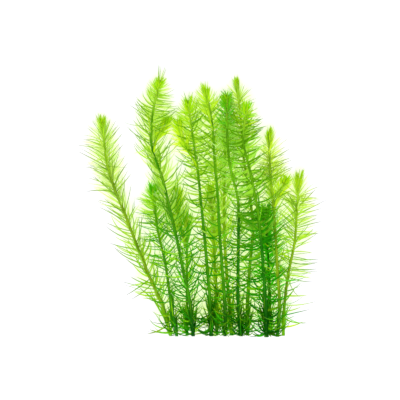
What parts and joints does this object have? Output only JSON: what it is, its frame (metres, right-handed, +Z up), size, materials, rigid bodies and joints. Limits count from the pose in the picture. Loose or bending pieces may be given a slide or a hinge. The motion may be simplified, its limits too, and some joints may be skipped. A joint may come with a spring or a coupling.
{
  "type": "stream bogmoss",
  "caption": "Cut clump of stream bogmoss lying flat: thin upright-grown stems, some forked, each ringed by narrow pointed leaves and ending in a tight brush of young leaves.",
  "frame": {"origin": "centre of the clump's box, on the surface that it lies on", "axes": "+Z up from the surface, +Y along the shoots from the cut ends to the tips, +X to the right seen from above"},
  "size_m": [0.161, 0.186, 0.023],
  "materials": {
    "stem_green": "satin",
    "stem_dark": "satin",
    "stem_olive": "satin",
    "leaf_lime": "satin",
    "leaf_green": "satin",
    "leaf_teal": "satin"
  },
  "bodies": {
    "root": {"stem_01": "stem_olive", "leaves_01": "leaf_lime", "stem_02": "stem_dark", "leaves_02": "leaf_teal", "stem_03": "stem_green", "leaves_03_low": "leaf_green", "leaves_03_top": "leaf_green", "stem_03_side": "stem_green", "leaves_03_side": "leaf_lime", "stem_04": "stem_green", "leaves_04_low": "leaf_green", "leaves_04_top": "leaf_green", "stem_04_side": "stem_green", "leaves_04_side": "leaf_lime", "stem_05": "stem_dark", "leaves_05_low": "leaf_green", "leaves_05_top": "leaf_green", "stem_05_side": "stem_green", "leaves_05_side": "leaf_lime", "stem_06": "stem_green", "leaves_06": "leaf_lime", "stem_07": "stem_dark", "leaves_07": "leaf_green", "stem_08": "stem_green", "leaves_08": "leaf_lime", "stem_09": "stem_dark", "leaves_09": "leaf_teal", "stem_10": "stem_green", "leaves_10": "leaf_green", "stem_11": "stem_dark", "leaves_11": "leaf_teal", "stem_12": "stem_dark", "leaves_12": "leaf_teal", "stem_13": "stem_olive", "leaves_13_low": "leaf_green", "leaves_13_top": "leaf_green", "stem_13_side": "stem_green", "leaves_13_side": "leaf_lime", "stem_14": "stem_olive", "leaves_14": "leaf_lime"}
  },
  "joints": []
}
